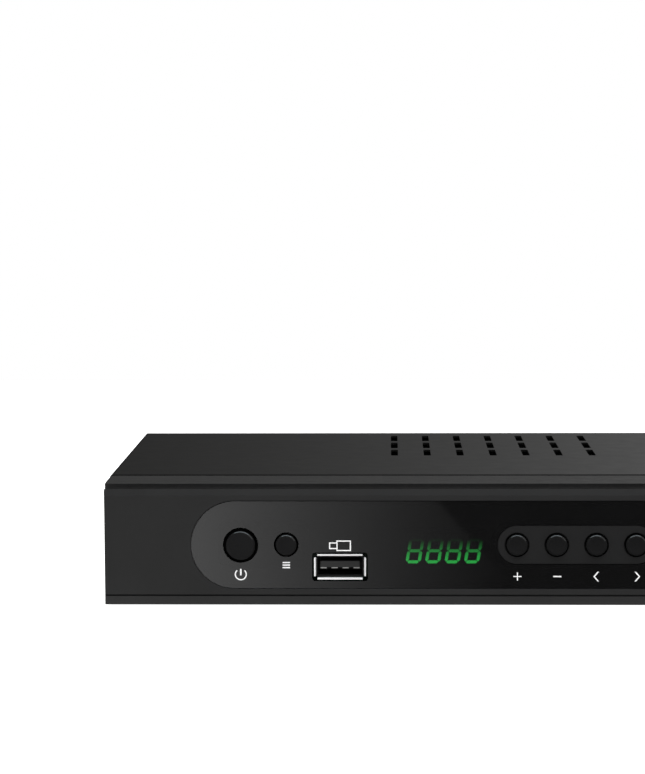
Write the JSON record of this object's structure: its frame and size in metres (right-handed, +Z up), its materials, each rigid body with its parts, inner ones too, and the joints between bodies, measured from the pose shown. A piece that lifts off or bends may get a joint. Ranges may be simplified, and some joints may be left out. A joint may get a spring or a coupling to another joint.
{
  "type": "digital television receiver and recorder",
  "caption": "Low black steel box with a plastic front, smoked window, round push keys, digit display and USB port, and sockets at the rear: a television receiver that records to USB.",
  "frame": {"origin": "middle of the bounding box, on the surface that the box stands on", "axes": "+X to the right seen from the front (width), +Y from the front to the rear, +Z up"},
  "size_m": [0.192, 0.13, 0.0362],
  "materials": {
    "black_bezel": "satin moulded black plastic",
    "black_paint": "satin black paint on sheet steel",
    "smoked_window": "gloss smoked acrylic",
    "black_key": "satin to gloss black plastic",
    "trim_plastic": "satin dark plastic",
    "inner_plastic": "plain black plastic",
    "foot_rubber": "matte black",
    "black_screw": "blackened steel",
    "zinc_screw": "zinc plated steel",
    "board_green": "solder-masked circuit board",
    "chip_black": "moulded epoxy",
    "pad_grey": "thermally conductive silicone",
    "heatsink_metal": "plain extruded",
    "tin_plate": "bright tinned steel",
    "nickel": "bright nickel plate",
    "capacitor_sleeve": "shrunk dark blue sleeve",
    "ferrite": "moulded ferrite",
    "segment_green": "lit green",
    "ribbon_white": "laminated flat cable",
    "socket_ivory": "ivory nylon",
    "insulator_white": "white insulator",
    "jack_yellow": "yellow insert",
    "jack_white": "white insert",
    "jack_red": "red insert",
    "jack_orange": "orange insert"
  },
  "bodies": {
    "case": {"front_bezel": "black_bezel", "window_lens": "smoked_window", "key_trim": "trim_plastic", "button_guide": "inner_plastic", "top_cover": "black_paint", "base_chassis": "black_paint", "rubber_feet": "foot_rubber", "cover_screws": "black_screw", "bezel_screws": "zinc_screw", "board_screws": "zinc_screw", "front_board_screws": "zinc_screw", "board_standoffs": "zinc_screw", "tact_switches": "tin_plate", "front_board": "board_green", "display_housing": "inner_plastic", "display_segments": "segment_green", "infrared_receiver": "chip_black", "usb_shell": "nickel", "usb_tongue": "inner_plastic", "usb_contacts": "nickel", "ribbon_cable": "ribbon_white", "ribbon_sockets": "socket_ivory", "main_board": "board_green", "main_chip": "chip_black", "thermal_pad": "pad_grey", "heatsink": "heatsink_metal", "memory_chips": "chip_black", "board_chips": "chip_black", "crystal": "tin_plate", "capacitors": "capacitor_sleeve", "inductors": "ferrite", "tuner_can": "tin_plate", "aerial_in_socket": "nickel", "aerial_out_socket": "nickel", "aerial_insulators": "insulator_white", "hdmi_shell": "tin_plate", "hdmi_tongue": "inner_plastic", "jack_blocks": "inner_plastic", "jack_barrels": "nickel", "video_jack_insert": "jack_yellow", "left_audio_jack_insert": "jack_white", "right_audio_jack_insert": "jack_red", "coax_jack_insert": "jack_orange", "dc_jack_body": "inner_plastic", "dc_jack_pin": "nickel"},
    "power_key": {"power_button": "black_key", "power_plunger": "inner_plastic"},
    "menu_key": {"menu_button": "black_key", "menu_plunger": "inner_plastic"},
    "plus_key": {"plus_button": "black_key", "plus_plunger": "inner_plastic"},
    "minus_key": {"minus_button": "black_key", "minus_plunger": "inner_plastic"},
    "previous_key": {"previous_button": "black_key", "previous_plunger": "inner_plastic"},
    "next_key": {"next_button": "black_key", "next_plunger": "inner_plastic"}
  },
  "joints": [
    {"name": "power_press", "type": "slide", "parent": "case", "child": "power_key", "axis": [0, 1, 0], "range_m": [0, 0.0004], "stiffness_N_per_m": 600, "springref_m": -0.0004},
    {"name": "menu_press", "type": "slide", "parent": "case", "child": "menu_key", "axis": [0, 1, 0], "range_m": [0, 0.0004], "stiffness_N_per_m": 600, "springref_m": -0.0004},
    {"name": "plus_press", "type": "slide", "parent": "case", "child": "plus_key", "axis": [0, 1, 0], "range_m": [0, 0.0004], "stiffness_N_per_m": 600, "springref_m": -0.0004},
    {"name": "minus_press", "type": "slide", "parent": "case", "child": "minus_key", "axis": [0, 1, 0], "range_m": [0, 0.0004], "stiffness_N_per_m": 600, "springref_m": -0.0004},
    {"name": "previous_press", "type": "slide", "parent": "case", "child": "previous_key", "axis": [0, 1, 0], "range_m": [0, 0.0004], "stiffness_N_per_m": 600, "springref_m": -0.0004},
    {"name": "next_press", "type": "slide", "parent": "case", "child": "next_key", "axis": [0, 1, 0], "range_m": [0, 0.0004], "stiffness_N_per_m": 600, "springref_m": -0.0004}
  ]
}
